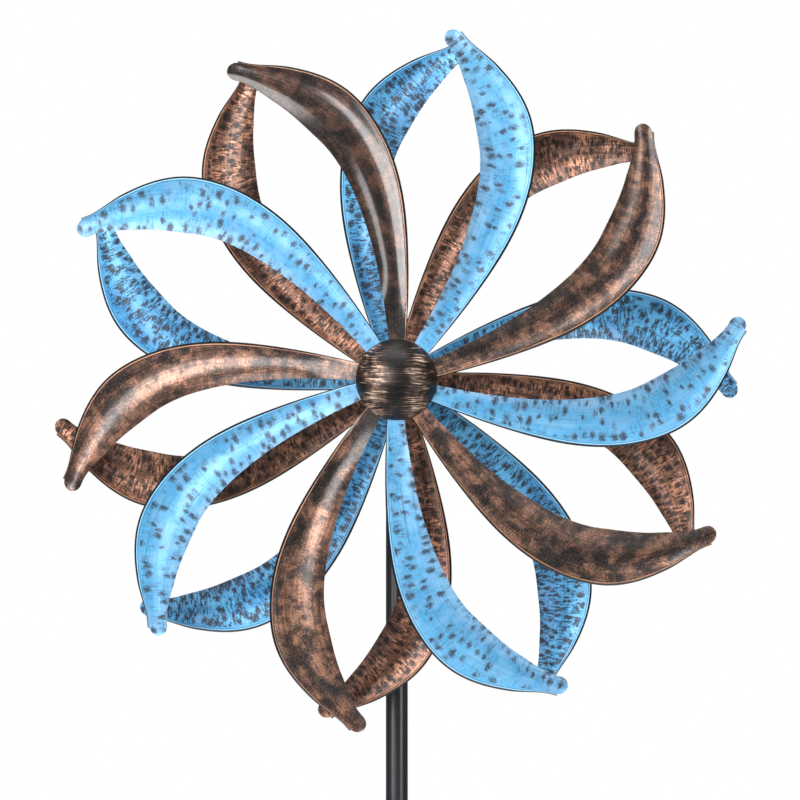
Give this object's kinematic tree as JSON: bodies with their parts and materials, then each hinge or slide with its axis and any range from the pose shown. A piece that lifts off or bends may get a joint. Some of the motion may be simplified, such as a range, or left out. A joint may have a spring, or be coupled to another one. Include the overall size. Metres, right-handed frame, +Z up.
{
  "type": "kinetic wind sculpture",
  "caption": "Garden wind spinner: two counter-swept petal wheels in blue and bronze patina turn freely on one axle at the head of a sectional pole with a ground fork.",
  "frame": {"origin": "on the pole's axis at ground level, where the centre spike enters the soil", "axes": "+Z up along the pole, wheels face -Y, +X to the viewer's right"},
  "size_m": [0.6126, 0.1714, 1.9036],
  "materials": {
    "black_steel": "satin black powder coat",
    "blue_patina": "sky blue paint with dabbed black-brown patina, satin",
    "bronze_patina": "brushed copper paint under black-brown patina, satin",
    "zinc_steel": "bright zinc plate",
    "bearing_steel": "ground steel",
    "black_plastic": "moulded plastic cap"
  },
  "bodies": {
    "post": {"ground_spike": "black_steel", "fork_bar": "black_steel", "stake_tube": "black_steel", "stop_collar": "black_steel", "lower_pole": "black_steel", "lower_coupler": "zinc_steel", "middle_pole": "black_steel", "upper_coupler": "zinc_steel", "upper_pole": "black_steel", "pole_screws": "zinc_steel", "pole_cap": "black_plastic", "rear_saddle": "black_steel", "axle_standoff": "black_steel", "axle_bolt": "zinc_steel", "axle_washers": "zinc_steel", "wheel_spacer": "zinc_steel", "lock_nut": "zinc_steel"},
    "rear_wheel": {"rear_hub": "black_steel", "rear_clamp_ring": "black_steel", "rear_blade_screws": "zinc_steel", "rear_blade_nuts": "zinc_steel", "rear_wheel_back_bearing": "bearing_steel", "rear_wheel_front_bearing": "bearing_steel", "rear_blade_01": "blue_patina", "rear_blade_02": "bronze_patina", "rear_blade_03": "blue_patina", "rear_blade_04": "bronze_patina", "rear_blade_05": "blue_patina", "rear_blade_06": "bronze_patina", "rear_blade_07": "blue_patina", "rear_blade_08": "bronze_patina", "rear_blade_09": "blue_patina", "rear_blade_10": "bronze_patina"},
    "front_wheel": {"front_hub": "black_steel", "front_clamp_ring": "black_steel", "front_blade_screws": "zinc_steel", "front_blade_nuts": "zinc_steel", "front_wheel_back_bearing": "bearing_steel", "front_wheel_front_bearing": "bearing_steel", "hub_dome": "bronze_patina", "front_blade_01": "blue_patina", "front_blade_02": "bronze_patina", "front_blade_03": "blue_patina", "front_blade_04": "bronze_patina", "front_blade_05": "blue_patina", "front_blade_06": "bronze_patina", "front_blade_07": "blue_patina", "front_blade_08": "bronze_patina", "front_blade_09": "blue_patina", "front_blade_10": "bronze_patina"}
  },
  "joints": [
    {"name": "front_wheel_spin", "type": "hinge", "parent": "post", "child": "front_wheel", "pos_m": [0, -0.1264, 1.4], "axis": [0, -1, 0], "continuous": true},
    {"name": "rear_wheel_spin", "type": "hinge", "parent": "post", "child": "rear_wheel", "pos_m": [0, -0.0484, 1.4], "axis": [0, -1, 0], "continuous": true}
  ]
}
